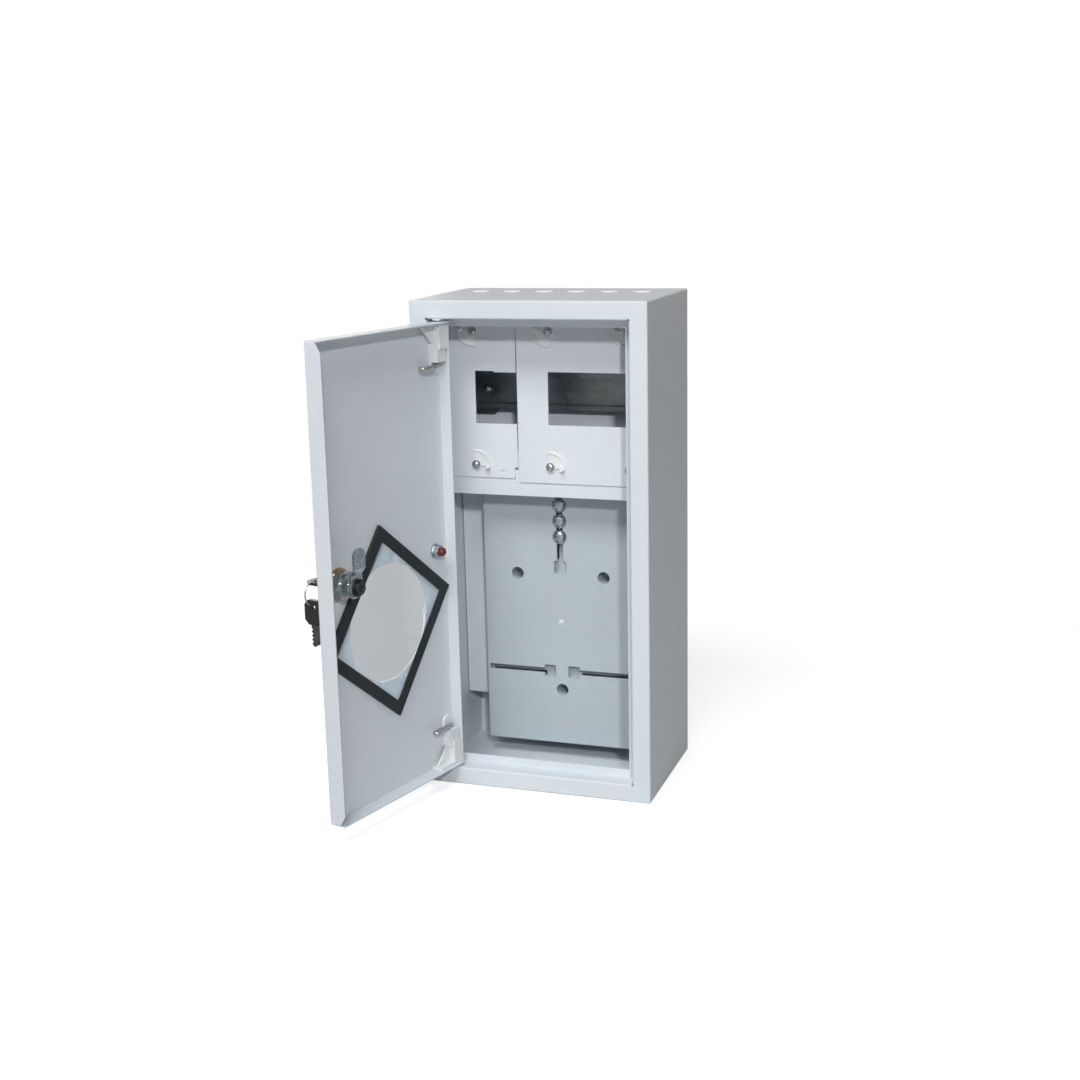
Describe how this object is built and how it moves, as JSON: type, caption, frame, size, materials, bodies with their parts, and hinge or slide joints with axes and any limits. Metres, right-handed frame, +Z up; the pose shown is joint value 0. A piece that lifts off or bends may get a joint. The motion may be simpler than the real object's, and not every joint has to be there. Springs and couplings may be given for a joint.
{
  "type": "electric meter box",
  "caption": "Wall-mounted grey steel meter box with an open hinged door, round viewing window, cam lock with keys, module covers, rail and moulded meter plate.",
  "frame": {"origin": "centre of the four wall fixing holes, on the outer back face", "axes": "+X right seen from the front, +Y into the wall, +Z up"},
  "size_m": [0.2549, 0.2993, 0.436],
  "materials": {
    "grey_paint": "light grey powder coat with a fine orange-peel texture",
    "cover_paint": "light grey powder coat, smooth satin",
    "entry_plastic": "grey moulded plastic",
    "plate_plastic": "blue-grey moulded plastic, satin",
    "white_plastic": "white moulded plastic",
    "black_plastic": "black moulded plastic",
    "black_strip": "black sealing strip, dull",
    "red_cap": "red soft plastic",
    "clear_pane": "clear plastic pane",
    "zinc": "bright zinc plating",
    "rail_zinc": "galvanised steel, dull",
    "wire_steel": "drawn steel wire",
    "key_steel": "nickel plated",
    "dark_steel": "dark spring steel",
    "yellow_zinc": "yellow passivated zinc",
    "bright_chrome": "bright chrome plating"
  },
  "bodies": {
    "cabinet": {"cabinet_shell": "grey_paint", "cable_entry_plugs": "entry_plastic", "inner_frame": "grey_paint", "cover_left": "cover_paint", "cover_right": "cover_paint", "cover_screws": "zinc", "seal_tabs": "white_plastic", "mounting_panel": "grey_paint", "din_rail": "rail_zinc", "rail_bracket_left": "rail_zinc", "rail_bracket_right": "rail_zinc", "rail_screws": "zinc", "meter_plate": "plate_plastic", "meter_plate_screws": "zinc", "meter_screws": "bright_chrome", "meter_screw_nuts": "zinc", "hinge_bush_top": "white_plastic", "hinge_bush_bottom": "white_plastic"},
    "door": {"door_panel": "grey_paint", "window_pane": "clear_pane", "window_seal_strips": "black_strip", "hinge_block_top": "white_plastic", "hinge_block_bottom": "white_plastic", "lock_barrel": "bright_chrome", "lock_ring": "yellow_zinc", "lock_nut": "bright_chrome", "earth_stud": "zinc", "earth_washer": "zinc", "earth_nut": "zinc", "earth_cap": "red_cap"},
    "top_pin": {"hinge_pin_top": "wire_steel"},
    "bottom_pin": {"hinge_pin_bottom": "wire_steel"},
    "lock_rotor": {"lock_plug": "zinc", "lock_cam": "zinc", "cam_washer": "dark_steel", "cam_bolt": "dark_steel"},
    "key": {"key_blade": "key_steel", "key_head": "black_plastic"},
    "key_hoop": {"key_ring": "wire_steel"},
    "spare_key": {"spare_key_blade": "key_steel", "spare_key_head": "black_plastic"}
  },
  "joints": [
    {"name": "door_hinge", "type": "hinge", "parent": "cabinet", "child": "door", "pos_m": [-0.0805, -0.1346, 0], "axis": [0, 0, -1], "range_deg": [-104, 9]},
    {"name": "top_pin_slide", "type": "slide", "parent": "door", "child": "top_pin", "axis": [0, 0, -1], "range_m": [0, 0.008]},
    {"name": "bottom_pin_slide", "type": "slide", "parent": "door", "child": "bottom_pin", "axis": [0, 0, 1], "range_m": [0, 0.008]},
    {"name": "lock_turn", "type": "hinge", "parent": "door", "child": "lock_rotor", "pos_m": [-0.11497, -0.27287, 0], "axis": [0.9703, -0.2419, 0], "range_deg": [0, 90]},
    {"name": "key_slide", "type": "slide", "parent": "lock_rotor", "child": "key", "axis": [-0.9703, 0.2419, 0], "range_m": [0, 0.024]},
    {"name": "ring_swing", "type": "hinge", "parent": "key", "child": "key_hoop", "pos_m": [-0.14071, -0.27315, 0], "axis": [0.9703, -0.2419, 0], "range_deg": [-90, 0]},
    {"name": "spare_key_swing", "type": "hinge", "parent": "key_hoop", "child": "spare_key", "pos_m": [-0.14071, -0.27315, -0.0183], "axis": [-0.2419, -0.9703, 0], "range_deg": [-15, 15]}
  ],
  "couplings": [
    {"joint": "ring_swing", "follows": "lock_turn", "ratio": -1}
  ]
}
